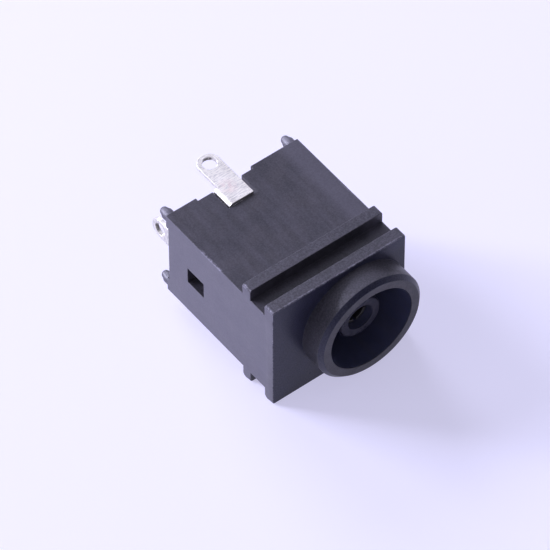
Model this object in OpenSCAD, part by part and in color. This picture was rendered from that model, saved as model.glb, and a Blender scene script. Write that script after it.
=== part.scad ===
// DC barrel jack with a flanged, slot-mounted housing, a socket for a plug with a centre pin,
// and two solder lugs that leave the back.
// Frame: origin on the axis of the bore, at the front face of the front plate.
// +X to the right, +Y into the housing, +Z up. Millimetres.

/* [Housing block] */
// Width of the housing, the same for block, plate and rib
housing_w = 11; // [10.6:0.1:14]
// Height of the block behind the flange
block_h = 7.6; // [7.4:0.1:9.6]
// Length from the front face of the plate to the rear face
block_l = 11.3; // [10.8:0.1:15]
// Distance from the bore axis to the right side
axis_to_side = 4.25; // [4.25:0.05:5]
// Radius of the block's long corners
corner_r = 0.1; // [0.05:0.05:0.3]

/* [Flange] */
// Thickness of the front plate
plate_t = 0.9; // [0.6:0.05:1.4]
// Gap between plate and rib, for the panel
groove_w = 1.5; // [1:0.1:2.4]
// Thickness of the rib behind the groove
rib_t = 0.85; // [0.6:0.05:1.6]
// How far plate and rib stand proud of the block, above and below
rib_rise = 0.925; // [0.5:0.025:1.6]
// Radius of the corners of plate and rib
flange_r = 0.2; // [0.1:0.05:0.4]
// Radius of the lower rear edges of plate and rib
flange_ease = 0.3; // [0.1:0.05:0.5]

/* [Collar and bore] */
// Outer diameter of the collar
collar_d = 8.6; // [7.9:0.1:8.8]
// Length of the collar in front of the plate
collar_l = 1.9; // [1:0.1:4]
// Chamfer round the collar's outer rim
collar_chamfer = 0.3; // [0.1:0.05:0.5]
// Diameter of the bore that takes the plug
bore_d = 6.7; // [6.3:0.1:6.9]
// Depth of the bore from the rim
bore_l = 9.9; // [9:0.1:10.2]

/* [Centre post] */
// Outer diameter of the post
post_d = 3.4; // [3:0.1:3.6]
// Diameter of the hole in the post
post_hole_d = 2; // [1.9:0.05:2.2]
// How far the post's tip lies behind the rim
post_recess = 1.2; // [0.6:0.1:3]
// Chamfer round the post's tip
post_chamfer = 0.12; // [0.05:0.01:0.25]

/* [Rear face] */
// Thickness of the four corner pads
pad_t = 0.25; // [0.1:0.05:0.8]
// Height of each pad
pad_h = 1.225; // [1:0.025:1.5]
// Width of the two left pads
pad_left_w = 2.5; // [1:0.1:2.9]
// Width of the two right pads
pad_right_w = 3.95; // [1:0.05:4.2]
// Diameter of the locating pegs at their foot
peg_d = 0.84; // [0.6:0.02:0.88]
// Diameter of the pegs at their round tip
peg_tip_d = 0.62; // [0.4:0.02:0.68]
// Length of the pegs beyond the pads
peg_l = 1.02; // [0.8:0.02:2]
// Length of the straight foot of each peg
peg_foot_l = 0.45; // [0.4:0.05:0.5]
// Distance between the peg rows, across the housing
peg_span_x = 10.1; // [9:0.1:10.1]
// Distance between the peg rows, up the housing
peg_span_z = 6.6; // [5.8:0.1:6.7]

/* [Side window] */
// Length of the window in the left wall
window_l = 1.73; // [0.8:0.01:2.4]
// Height of the window
window_h = 1.4; // [0.8:0.05:1.6]
// Distance from the rear face to the window
window_to_rear = 2.07; // [1.2:0.01:3]
// Height of the window's middle above the axis
window_z = -0.155; // [-0.3:0.005:0.1]

/* [Sheet metal] */
// Thickness of the contact strip
sheet_t = 0.3; // [0.2:0.02:0.34]
// Inner radius of the sharp folds
fold_r = 0.1; // [0.05:0.05:0.2]
// Gap between a strip and the walls of its slot
slot_gap = 0.05; // [0.02:0.01:0.08]
// Width of the solder lugs
lug_w = 1.7; // [1.5:0.05:1.9]
// Diameter of the eyes in the lugs
eye_d = 1.05; // [0.6:0.05:1.1]

/* [Sleeve contact] */
// Thickness of the left wall that the strip lies against
side_wall = 0.8; // [0.6:0.05:1]
// Width of the strip where it sits in its slot
seat_w = 1.8; // [1.75:0.05:2.2]
// Width of the spring leaf
leaf_w = 1.4; // [1:0.05:1.6]
// How far the leaf's bump reaches into the bore
bump_reach = 0.35; // [0.1:0.05:0.5]
// Centre-line radius of the bump
bump_r = 0.9; // [0.5:0.1:1.2]
// Length of the leaf from the hairpin to the bump
leaf_l = 2.9; // [2:0.1:3.2]
// Slope of the leaf towards the bore
leaf_slope = 6; // [2:1:9]
// Length of the tail behind the bump
tail_l = 0.9; // [0.4:0.1:1.1]
// Slope of the tail away from the bore
tail_slope = 20; // [10:1:30]
// Distance from the rear face to the eye of the sleeve lug
sleeve_eye_reach = 2.1; // [1.6:0.05:4]

/* [Centre terminal] */
// Distance from the bore axis to the leg's outer face
leg_offset = 3; // [2.6:0.05:3.05]
// Width of the lug's folded root, across the housing
root_w = 2.05; // [1.9:0.05:2.2]
// Width of the slot in the top of the housing
top_slot_w = 2.4; // [2.3:0.05:2.6]
// Depth of the rear pocket, which the top slot shares
pocket_l = 1.8; // [1.5:0.1:2]
// Gap between the front of the pocket and the lug's root
root_gap = 0.05; // [0.05:0.01:0.2]
// Height of the lug's top above the top of the housing
lug_rise = 0.2; // [0.15:0.05:0.3]
// Height of the strap that holds the socket
strap_h = 2.6; // [2.5:0.1:2.9]
// Distance from the rear face to the eye of the centre lug
centre_eye_reach = 1.97; // [1.6:0.01:4]

/* [Centre socket] */
// Outer diameter of the socket tube
tube_d = 1.88; // [1.76:0.02:1.94]
// Bore of the socket, for the plug's pin
tube_bore_d = 1.42; // [1.3:0.02:1.5]
// Depth of the socket's bore
tube_bore_l = 6; // [4:0.5:7]
// How far the tube's mouth lies behind the post's tip
tube_recess = 0.6; // [0.3:0.1:1.5]
// Width of the slits that make the tube springy
slit_w = 0.22; // [0.1:0.02:0.4]
// Length of the slits
slit_l = 4; // [2:0.5:5]
// Diameter of the tube's flange
flange_d = 2.4; // [2.2:0.1:2.5]
// Thickness of the flange
flange_t = 0.4; // [0.3:0.05:0.6]
// Diameter of the tail that is riveted through the strap
rivet_d = 1.1; // [0.8:0.05:1.4]
// Diameter of the riveted head
head_d = 1.7; // [1.6:0.05:2.1]
// Height of the riveted head
head_t = 0.25; // [0.15:0.05:0.4]

/* [Hidden] */
$fn = 96;

moulding_colour = "#35343c";
silver_colour = "#c9c7cf";
brass_colour = "#c9b27c";

// a cut runs this far past the faces that it opens
past = 1;

// housing
right_x = axis_to_side;
left_x = right_x - housing_w;
middle_x = (left_x + right_x) / 2;
top_z = block_h / 2;
flange_h = block_h + 2 * rib_rise;
rib_y = plate_t + groove_w;
rim_y = -collar_l;
floor_y = rim_y + bore_l;
bore_r = bore_d / 2;
tip_y = rim_y + post_recess;
pad_y = block_l + pad_t;
pocket_y = block_l - pocket_l;

// centre terminal: leg, folded root and lug
leg_x = -leg_offset;
fold_outer = fold_r + sheet_t;
slot_left_x = leg_x - slot_gap;
slot_right_x = slot_left_x + top_slot_w;
root_right_x = leg_x + root_w;
lug_left_x = root_right_x - lug_w;
lug_top_z = top_z + lug_rise;
strap_y = pocket_y;
pocket_h = strap_h + 2 * slot_gap;
pocket_right_x = strap_h / 2 + slot_gap;

// sleeve contact: seat, hairpin and leaf
seat_x = left_x + side_wall + slot_gap;
seat_mid_x = seat_x + sheet_t / 2;
apex_x = bump_reach - bore_r;
slope_run = leaf_l * sin(leaf_slope) + bump_r * (1 - cos(leaf_slope));
hairpin_r = (apex_x - sheet_t / 2 - seat_mid_x - slope_run) / (1 + cos(leaf_slope));
chamber_y = plate_t + 0.5;
hairpin_y = chamber_y + 2 * slot_gap + sheet_t / 2 + hairpin_r;
chamber_h = leaf_w + 4 * slot_gap;
chamber_right_x = slot_left_x - 0.45;

// centre socket
mouth_y = tip_y + tube_recess;
flange_y = pocket_y - flange_t;
head_y = strap_y + sheet_t;

// ---- shared shapes ----

// rectangle about the origin with true round corners
module round_rect(w, h, r) {
    square([w - 2 * r, h], center = true);
    square([w, h - 2 * r], center = true);
    for (sx = [-1, 1], sz = [-1, 1])
        translate([sx * (w / 2 - r), sz * (h / 2 - r)]) circle(r);
}

// extrudes a drawing of X and Z from y0 to y1
module along_y(y0, y1) {
    translate([0, y1, 0]) rotate([90, 0, 0]) linear_extrude(height = y1 - y0) children();
}

// a rod on the bore axis from y0 to y1
module rod_y(d, y0, y1) {
    along_y(y0, y1) circle(d = d);
}

// a rod whose ends differ in diameter
module cone_y(d0, d1, y0, y1) {
    translate([0, y0, 0]) rotate([-90, 0, 0]) cylinder(d1 = d0, d2 = d1, h = y1 - y0);
}

// a box between two corners
module box(low, high) {
    translate(low) cube(high - low);
}

// flat outline of a lug: a strip from the origin along +X with a round end and an eye
module lug_outline(eye_x) {
    difference() {
        union() {
            translate([0, -lug_w / 2]) square([eye_x, lug_w]);
            translate([eye_x, 0]) circle(d = lug_w);
        }
        translate([eye_x, 0]) circle(d = eye_d);
    }
}

// ---- bent strip ----
// A strip's centre line is a list of [length, radius, turn] moves: a straight run of that
// length, then a bend of that radius through that many degrees, to the left if positive.

bend_steps = 12;

function heading(moves, i, start) =
    i == 0 ? start : heading(moves, i - 1, start) + moves[i - 1][2];

function unit(a) = [cos(a), sin(a)];

// centre of the bend in a move that starts at p with heading a
function bend_centre(p, a, move) =
    p + move[0] * unit(a) + move[1] * unit(a + 90 * sign(move[2]));

function move_end(p, a, move) =
    bend_centre(p, a, move) - move[1] * unit(a + move[2] + 90 * sign(move[2]));

function move_start(moves, i, p, start) =
    i == 0 ? p
           : move_end(move_start(moves, i - 1, p, start), heading(moves, i - 1, start),
                      moves[i - 1]);

// points of one face of the strip, side steps to the left of the centre line
function face_points(moves, p, start, side) = [
    for (i = [0 : len(moves) - 1])
        let (a = heading(moves, i, start), q = move_start(moves, i, p, start),
             m = moves[i], turn = sign(m[2]), c = bend_centre(q, a, m))
            for (k = [-1 : bend_steps])
                k < 0 ? q + side * unit(a + 90)
                      : c - turn * (m[1] - turn * side) * unit(a + m[2] * k / bend_steps + 90)
];

module strip_profile(moves, p, start, t) {
    left = face_points(moves, p, start, t / 2);
    right = face_points(moves, p, start, -t / 2);
    polygon(concat(left, [for (i = [len(right) - 1 : -1 : 0]) right[i]]));
}

// ---- housing ----

module flange_sheet(y0, t) {
    difference() {
        along_y(y0, y0 + t) translate([middle_x, 0]) round_rect(housing_w, flange_h, flange_r);
        eased_edge(y0 + t, -flange_h / 2, flange_ease);
    }
}

// what a rounded lower rear edge takes away
module eased_edge(y, z, r) {
    difference() {
        box([left_x - past, y - r, z - past], [right_x + past, y + past, z + r]);
        translate([left_x - 2 * past, y - r, z + r]) rotate([0, 90, 0])
            cylinder(r = r, h = housing_w + 4 * past);
    }
}

module block() {
    along_y(0, block_l) translate([middle_x, 0]) round_rect(housing_w, block_h, corner_r);
}

module collar() {
    rod_y(collar_d, rim_y + collar_chamfer, 0);
    cone_y(collar_d - 2 * collar_chamfer, collar_d, rim_y, rim_y + collar_chamfer);
}

// pads in the four corners of the rear face
module pads() {
    intersection() {
        along_y(block_l, pad_y) translate([middle_x, 0]) round_rect(housing_w, block_h, corner_r);
        for (side = [[left_x, left_x + pad_left_w], [right_x - pad_right_w, right_x]],
             z = [-top_z, top_z - pad_h])
            box([side[0], block_l, z], [side[1], pad_y, z + pad_h]);
    }
}

module peg() {
    dome_y = peg_l - peg_tip_d / 2;
    rod_y(peg_d, 0, peg_foot_l);
    cone_y(peg_d, peg_tip_d, peg_foot_l, dome_y);
    translate([0, dome_y, 0]) sphere(d = peg_tip_d);
}

module pegs() {
    for (sx = [-1, 1], sz = [-1, 1])
        translate([middle_x + sx * peg_span_x / 2, pad_y, sz * peg_span_z / 2]) peg();
}

module post() {
    rod_y(post_d, tip_y + post_chamfer, floor_y);
    cone_y(post_d - 2 * post_chamfer, post_d, tip_y, tip_y + post_chamfer);
}

// slot for the sleeve contact's seat, and the wider chamber that its spring works in
module sleeve_chamber() {
    slot_h = seat_w + 2 * slot_gap;
    slot_right = seat_x + sheet_t + slot_gap;
    box([left_x + side_wall, chamber_y, -slot_h / 2], [slot_right, block_l + past, slot_h / 2]);
    box([slot_right, chamber_y, -chamber_h / 2], [chamber_right_x, block_l + past, chamber_h / 2]);
    box([slot_right, chamber_y, -chamber_h / 2], [-post_d / 2 - slot_gap, floor_y, chamber_h / 2]);
}

module side_window() {
    y0 = block_l - window_to_rear - window_l;
    box([left_x - past, y0, window_z - window_h / 2],
        [left_x + side_wall + slot_gap, y0 + window_l, window_z + window_h / 2]);
}

// pocket for the strap, and the slot above it for the folded lug
module rear_pocket() {
    box([slot_left_x, pocket_y, -pocket_h / 2], [0, block_l + past, pocket_h / 2]);
    rod_y(2 * pocket_right_x, pocket_y, block_l + past);
    box([slot_left_x, pocket_y, -pocket_h / 2], [slot_right_x, block_l + past, top_z + past]);
}

module housing() {
    color(moulding_colour) difference() {
        union() {
            difference() {
                union() {
                    block();
                    flange_sheet(0, plate_t);
                    flange_sheet(rib_y, rib_t);
                    collar();
                    pads();
                }
                rod_y(bore_d, rim_y - past, floor_y);
                sleeve_chamber();
                side_window();
                rear_pocket();
            }
            post();
            pegs();
        }
        rod_y(post_hole_d, tip_y - past, pocket_y + past);
        rod_y(flange_d + 2 * slot_gap, flange_y, pocket_y + past);
    }
}

// ---- contacts ----

// a hairpin spring in front of a flat seat that runs out of the back as a solder lug
module sleeve_contact() {
    color(silver_colour) {
        translate([seat_x, 0, 0]) rotate([90, 0, 90]) linear_extrude(height = sheet_t) {
            translate([hairpin_y, -seat_w / 2]) square([block_l - hairpin_y, seat_w]);
            translate([block_l, 0]) lug_outline(sleeve_eye_reach);
        }
        spring = [
            [0, hairpin_r, 180 - leaf_slope],
            [leaf_l, bump_r, leaf_slope + tail_slope],
            [tail_l, bump_r, -1]
        ];
        translate([0, 0, -leaf_w / 2]) linear_extrude(height = leaf_w)
            strip_profile(spring, [seat_mid_x, hairpin_y], -90, sheet_t);
    }
}

// quarter ring of a right-angled fold, from its bend axis
module fold(length) {
    linear_extrude(height = length) intersection() {
        difference() {
            circle(fold_outer);
            circle(fold_r);
        }
        translate([-fold_outer, 0]) square(fold_outer);
    }
}

// a strap across the pocket, a leg that folds back from it, and a lug folded off the leg's top
module centre_terminal() {
    fold_x = leg_x + fold_outer;
    fold_z = lug_top_z - fold_outer;
    root_y = pocket_y + root_gap;
    eye_y = block_l + centre_eye_reach;
    lug_mid_x = lug_left_x + lug_w / 2;
    color(silver_colour) {
        // strap, round about the socket
        difference() {
            union() {
                box([fold_x, strap_y, -strap_h / 2], [0, strap_y + sheet_t, strap_h / 2]);
                rod_y(strap_h, strap_y, strap_y + sheet_t);
            }
            rod_y(rivet_d, strap_y - past, strap_y + sheet_t + past);
        }
        // fold from strap to leg
        translate([fold_x, strap_y + fold_outer, -strap_h / 2]) mirror([0, 1, 0]) fold(strap_h);
        // leg
        box([leg_x, strap_y + fold_outer, -strap_h / 2], [leg_x + sheet_t, block_l, fold_z]);
        box([leg_x, root_y, strap_h / 2 + slot_gap], [leg_x + sheet_t, block_l, fold_z]);
        // fold from leg to lug
        translate([fold_x, block_l, fold_z]) rotate([90, 0, 0]) fold(block_l - root_y);
        // root and lug
        box([fold_x, root_y, lug_top_z - sheet_t], [root_right_x, block_l, lug_top_z]);
        translate([lug_mid_x, block_l, lug_top_z - sheet_t]) rotate([0, 0, 90])
            linear_extrude(height = sheet_t) lug_outline(eye_y - block_l);
    }
}

// a turned tube with a slit mouth, a flange and a tail riveted through the strap
module centre_socket() {
    color(brass_colour) difference() {
        union() {
            rod_y(tube_d, mouth_y, flange_y);
            rod_y(flange_d, flange_y, pocket_y);
            rod_y(rivet_d, pocket_y, head_y);
            rod_y(head_d, head_y, head_y + head_t);
        }
        rod_y(tube_bore_d, mouth_y - past, mouth_y + tube_bore_l);
        for (turn = [0, 90])
            rotate([0, turn, 0])
                box([-tube_d, mouth_y - past, -slit_w / 2], [tube_d, mouth_y + slit_l, slit_w / 2]);
    }
}

housing();
sleeve_contact();
centre_terminal();
centre_socket();
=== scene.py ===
"""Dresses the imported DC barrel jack: its four pieces, their finishes, the floor, lamps and camera.

Pieces are modelled in millimetres in the part's own frame (origin on the bore axis at the
front plate's face, +Y into the housing, +Z up) and brought to metres when they are finished.
"""
import logging
import math
from collections.abc import Callable
from dataclasses import dataclass
from enum import Enum
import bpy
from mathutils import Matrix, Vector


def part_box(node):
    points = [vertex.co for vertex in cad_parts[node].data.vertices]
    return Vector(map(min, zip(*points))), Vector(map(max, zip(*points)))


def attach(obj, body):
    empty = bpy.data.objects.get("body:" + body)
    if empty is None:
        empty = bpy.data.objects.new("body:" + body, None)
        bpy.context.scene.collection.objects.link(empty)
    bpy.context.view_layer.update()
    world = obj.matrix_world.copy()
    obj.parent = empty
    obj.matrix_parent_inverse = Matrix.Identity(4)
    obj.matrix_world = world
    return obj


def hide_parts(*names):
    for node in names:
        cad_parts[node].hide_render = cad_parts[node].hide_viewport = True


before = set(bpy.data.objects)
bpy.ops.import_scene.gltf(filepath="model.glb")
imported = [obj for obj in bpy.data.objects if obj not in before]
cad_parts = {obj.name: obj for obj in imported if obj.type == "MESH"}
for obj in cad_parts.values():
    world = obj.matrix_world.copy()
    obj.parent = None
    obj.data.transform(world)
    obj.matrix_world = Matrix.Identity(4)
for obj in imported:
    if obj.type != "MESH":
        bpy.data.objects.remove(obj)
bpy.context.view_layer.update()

from types import TracebackType

import bmesh
import bpy
from mathutils import Vector

LOG = logging.getLogger("barrel_jack")
MM = 0.001  # one millimetre in metres
BODY = "root"

# Lengths in mm, angles in degrees.
EPS = 1e-3  # two places nearer than this are one
NEAR = 0.02  # a face nearer than this to a plane lies in it
PAST = 1.0  # a cutting tool stands out of the piece by this
SUNK = 0.5  # a tool or a joined rod runs this far into what lies behind it
FACING = 0.9  # a normal's share along an axis from which the face counts as square to it
SLANTED = 0.3  # the same share for a face at a slant, such as a chamfer
FLAT_ANGLE = 0.3  # faces that turn less than this are one face
SHARP_ANGLE = 30.0  # edges that turn more than this are broken by a small radius
CRISP_SHARE = 0.2  # the share of that radius that inward and crisp edges get
EDGE_STEPS = 2  # the flat steps of a broken edge
EYE_SIDES = 64  # the sides of a wire eye
TIP_STEPS = 14  # the flat steps of each quarter of a strip's round end

Point = tuple[float, float, float]


# ---------------------------------------------------------------- hand tools


class Cut(Enum):
    """How one shape is combined with another."""

    JOIN = "UNION"
    REMOVE = "DIFFERENCE"


class Bench:
    """Edit-mode tools for one mesh, used inside a with statement; all sizes are in mm."""

    def __init__(self, piece: bpy.types.Object) -> None:
        """Takes the piece that is to be shaped."""
        self.piece = piece

    def __enter__(self) -> "Bench":
        """Opens the piece in edit mode with nothing selected.

        Returns:
            The bench.
        """
        only(self.piece)
        bpy.ops.object.mode_set(mode="EDIT")
        bpy.ops.mesh.select_mode(type="FACE")
        bpy.ops.mesh.select_all(action="DESELECT")
        return self

    def __exit__(
        self,
        kind: type[BaseException] | None,
        fault: BaseException | None,
        trace: TracebackType | None,
    ) -> None:
        """Goes back to object mode."""
        bpy.ops.object.mode_set(mode="OBJECT")

    def _cage(self) -> bmesh.types.BMesh:
        """Gives the mesh that is open for editing."""
        return bmesh.from_edit_mesh(self.piece.data)

    def faces(self, wanted: Callable[[Vector, Vector], bool]) -> "Bench":
        """Selects the faces that a test on their centre and normal picks out.

        Args:
            wanted: test of a face's centre and normal.

        Returns:
            The bench, so that a tool can follow.
        """
        bpy.ops.mesh.select_mode(type="FACE")
        bpy.ops.mesh.select_all(action="DESELECT")
        cage = self._cage()
        cage.normal_update()
        for face in cage.faces:
            face.select_set(wanted(face.calc_center_median(), face.normal))
        bmesh.update_edit_mesh(self.piece.data)
        return self

    def edges(self, wanted: Callable[[Vector, Vector], bool]) -> "Bench":
        """Selects the edges that a test on their two ends picks out.

        Args:
            wanted: test of an edge's two end points.

        Returns:
            The bench, so that a tool can follow.
        """
        bpy.ops.mesh.select_mode(type="EDGE")
        bpy.ops.mesh.select_all(action="DESELECT")
        cage = self._cage()
        for edge in cage.edges:
            edge.select_set(wanted(edge.verts[0].co, edge.verts[1].co))
        bmesh.update_edit_mesh(self.piece.data)
        return self

    def slice(self, axis: int, *places: float) -> "Bench":
        """Cuts new edge rings square to an axis.

        Args:
            axis: 0, 1 or 2 for X, Y or Z.
            places: where to cut along that axis.

        Returns:
            The bench, so that a tool can follow.
        """
        for place in places:
            bpy.ops.mesh.select_all(action="SELECT")
            at = [0.0, 0.0, 0.0]
            way = [0.0, 0.0, 0.0]
            at[axis], way[axis] = place, 1.0
            bpy.ops.mesh.bisect(plane_co=at, plane_no=way)
        return self

    def extrude(self, move: Point) -> "Bench":
        """Pulls the selected faces out by a vector."""
        bpy.ops.mesh.extrude_region_move(TRANSFORM_OT_translate={"value": move})
        return self

    def spin(self, degrees: float, centre: Point, axis: Point, steps: int) -> "Bench":
        """Sweeps the selected faces round an axis, by the right-hand rule."""
        bpy.ops.mesh.spin(steps=steps, angle=-math.radians(degrees), center=centre, axis=axis)
        return self

    def resize(self, factors: Point, centre: Point) -> "Bench":
        """Scales what is selected about a point."""
        bpy.ops.transform.resize(value=factors, center_override=centre)
        return self

    def bevel(self, width: float, steps: int) -> "Bench":
        """Rounds the selected edges, or chamfers them in one step."""
        bpy.ops.mesh.bevel(offset=width, offset_type="OFFSET", segments=steps, affect="EDGES")
        return self

    def tidy(self) -> "Bench":
        """Merges doubled points, removes needless edges and turns all faces outwards.

        Returns:
            The bench, so that a tool can follow.
        """
        bpy.ops.mesh.select_all(action="SELECT")
        bpy.ops.mesh.remove_doubles(threshold=EPS)
        bpy.ops.mesh.dissolve_limited(angle_limit=math.radians(FLAT_ANGLE))
        bpy.ops.mesh.select_all(action="SELECT")
        bpy.ops.mesh.normals_make_consistent(inside=False)
        return self


def only(piece: bpy.types.Object) -> None:
    """Makes one object the only selected and the active one.

    Args:
        piece: that object.
    """
    for other in bpy.context.selected_objects:
        other.select_set(False)
    piece.select_set(True)
    bpy.context.view_layer.objects.active = piece


def settle(name: str) -> bpy.types.Object:
    """Names the new primitive and applies its place, so that it sits in its mesh.

    Args:
        name: the name of the piece.

    Returns:
        The primitive's object, at the origin.
    """
    piece = bpy.context.active_object
    piece.name = name
    piece.data.name = name
    only(piece)
    bpy.ops.object.transform_apply(location=True, rotation=True, scale=True)
    return piece


def box(name: str, low: Point, high: Point) -> bpy.types.Object:
    """Adds a box between two corners.

    Args:
        name: the name of the piece.
        low: its lowest corner.
        high: its highest corner.

    Returns:
        The box.
    """
    middle = [(a + b) / 2 for a, b in zip(low, high)]
    size = [b - a for a, b in zip(low, high)]
    bpy.ops.mesh.primitive_cube_add(size=1, location=middle, scale=size)
    return settle(name)


def rod(
    name: str, radius: float, start: float, end: float, sides: int = 128, axis: Point = (0, 1, 0),
    centre: Point = (0, 0, 0),
) -> bpy.types.Object:
    """Adds a round rod along an axis of the frame.

    Args:
        name: the name of the piece.
        radius: radius of the rod.
        start: where it starts along the axis.
        end: where it ends along the axis.
        sides: number of sides of its outline.
        axis: direction of the rod.
        centre: a point that its axis passes through.

    Returns:
        The rod.
    """
    way = Vector(axis)
    middle = Vector(centre) + way * ((start + end) / 2)
    turn = Vector((0, 0, 1)).rotation_difference(way).to_euler()
    bpy.ops.mesh.primitive_cylinder_add(
        vertices=sides, radius=radius, depth=end - start, location=middle, rotation=turn
    )
    return settle(name)


def modify(piece: bpy.types.Object, kind: str, **settings: object) -> None:
    """Adds a modifier and applies it.

    Args:
        piece: the object that gets it.
        kind: the modifier's type name.
        settings: properties of the modifier.
    """
    only(piece)
    modifier = piece.modifiers.new(kind.lower(), kind)
    for key, value in settings.items():
        setattr(modifier, key, value)
    bpy.ops.object.modifier_apply(modifier=modifier.name)


def combine(target: bpy.types.Object, how: Cut, *tools: bpy.types.Object) -> None:
    """Joins tools to the target or removes them from it, and deletes them.

    Args:
        target: the object that is changed.
        how: whether the tools are joined or removed.
        tools: the objects that are used up.
    """
    for tool in tools:
        modify(target, "BOOLEAN", operation=how.value, solver="EXACT", object=tool)
        bpy.data.objects.remove(tool, do_unlink=True)


def soften(
    piece: bpy.types.Object, width: float, crisp: Callable[[Vector], bool] | None = None
) -> None:
    """Breaks the sharp edges by a small radius.

    Args:
        piece: the mesh object, in millimetres.
        width: the radius of an outward edge; inward edges get a fraction of it.
        crisp: tells from an edge's middle that it stays nearly sharp, too.
    """
    with Bench(piece) as bench:
        bench.tidy()
    mesh = bmesh.new()
    mesh.from_mesh(piece.data)
    weight = mesh.edges.layers.float.new("bevel_weight_edge")
    for edge in mesh.edges:
        turn = math.degrees(edge.calc_face_angle_signed(0.0))
        middle = (edge.verts[0].co + edge.verts[1].co) / 2
        if abs(turn) > SHARP_ANGLE:
            kept = turn < 0 or (crisp is not None and crisp(middle))
            edge[weight] = CRISP_SHARE if kept else 1.0
    mesh.to_mesh(piece.data)
    mesh.free()
    only(piece)
    bpy.ops.object.shade_smooth_by_angle(angle=math.radians(SHARP_ANGLE))
    modify(
        piece, "BEVEL", width=width, segments=EDGE_STEPS, limit_method="WEIGHT",
        use_clamp_overlap=False, harden_normals=True,
    )


def to_metres(piece: bpy.types.Object) -> None:
    """Brings a finished piece from millimetres to metres.

    Args:
        piece: the mesh object, at the origin.
    """
    only(piece)
    piece.scale = (MM, MM, MM)
    bpy.ops.object.transform_apply(location=False, rotation=False, scale=True)


def dress(piece: bpy.types.Object, name: str, *finishes: bpy.types.Material) -> None:
    """Names a piece and gives it its finishes.

    Args:
        piece: the mesh object.
        name: the name of the piece.
        finishes: its materials, in the order of its faces' indices.
    """
    piece.name = name
    piece.data.materials.clear()
    for finish in finishes:
        piece.data.materials.append(finish)


def hand_over(piece: bpy.types.Object, solid: str) -> None:
    """Brings a finished piece to metres, logs its spans beside the solid's, hangs it on the body and
    hides the solid that it replaces.

    Args:
        piece: the finished mesh object, in millimetres.
        solid: the solid that the piece replaces.
    """
    to_metres(piece)
    low, high = (Vector(c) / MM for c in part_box(solid))
    points = [v.co / MM for v in piece.data.vertices]
    for axis in range(3):
        span = [p[axis] for p in points]
        LOG.info("%s axis %d: %.3f..%.3f, solid %.3f..%.3f", piece.name, axis, min(span),
                 max(span), low[axis], high[axis])
    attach(piece, BODY)
    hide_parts(solid)
    LOG.info("%s: %d faces", piece.name, len(piece.data.polygons))


# ---------------------------------------------------------------- finishes


def linear(code: str) -> tuple[float, float, float, float]:
    """Turns an sRGB hex colour into linear values.

    Args:
        code: the colour as six hex digits, with or without a leading sign.

    Returns:
        Linear red, green and blue, and full alpha.
    """
    digits = code.lstrip("#")
    values = [int(digits[i:i + 2], 16) / 255 for i in (0, 2, 4)]
    low = [v / 12.92 if v <= 0.04045 else ((v + 0.055) / 1.055) ** 2.4 for v in values]
    return (low[0], low[1], low[2], 1.0)


def node(
    tree: bpy.types.NodeTree, kind: str, links: dict | None = None, **settings: object
) -> bpy.types.Node:
    """Adds one shader node.

    Args:
        tree: the material's or world's node tree.
        kind: the node's type name, without the leading word ShaderNode.
        links: what each input gets: an output socket to link, or a value to set.
        settings: properties of the node itself.

    Returns:
        The new node.
    """
    made = tree.nodes.new("ShaderNode" + kind)
    for key, value in settings.items():
        setattr(made, key, value)
    for key, value in (links or {}).items():
        if isinstance(value, bpy.types.NodeSocket):
            tree.links.new(value, made.inputs[key])
        else:
            made.inputs[key].default_value = value
    return made


def fresh(name: str) -> tuple[bpy.types.Material, bpy.types.NodeTree]:
    """Starts a material.

    Args:
        name: the name of the material.

    Returns:
        The material and its empty node tree.
    """
    material = bpy.data.materials.new(name)
    material.use_nodes = True
    material.node_tree.nodes.clear()
    return material, material.node_tree


class Skin(Enum):
    """The skins of the housing's faces, which are all one plastic.

    SPARKED and COARSE are the tool's spark-eroded skin, plain and with a coarser grain. The
    others are painted lit and shaded copies of it, whose colours, gloss and refractive index
    are set for these lamps and aren't properties of the plastic: the long sides and pegs are
    painted paler and mirror more (painted light), the bore is painted paler and bluer (painted
    light in a recess), the front and the collar's chamfer are painted darker and bluer and
    mirror less, and the post's tip is painted bluer and mirrors less (painted shade). Under
    other light the plain spark-eroded skin may stand for them all.
    """

    SPARKED = "sparked"
    # painted light: a paler, more mirroring copy of the plastic for the long sides
    DRAWN = "drawn"
    # painted shade: a darker, bluer, less mirroring copy for the front and the collar's chamfer
    STONED = "stoned"
    COARSE = "coarse"
    # painted shade: a bluer, less mirroring copy for the post's tip
    TURNED = "turned"
    # painted light: a paler copy for the pegs
    PINS = "pins"
    # painted light: a paler, bluer copy that brightens the bore
    BORED = "bored"


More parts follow.
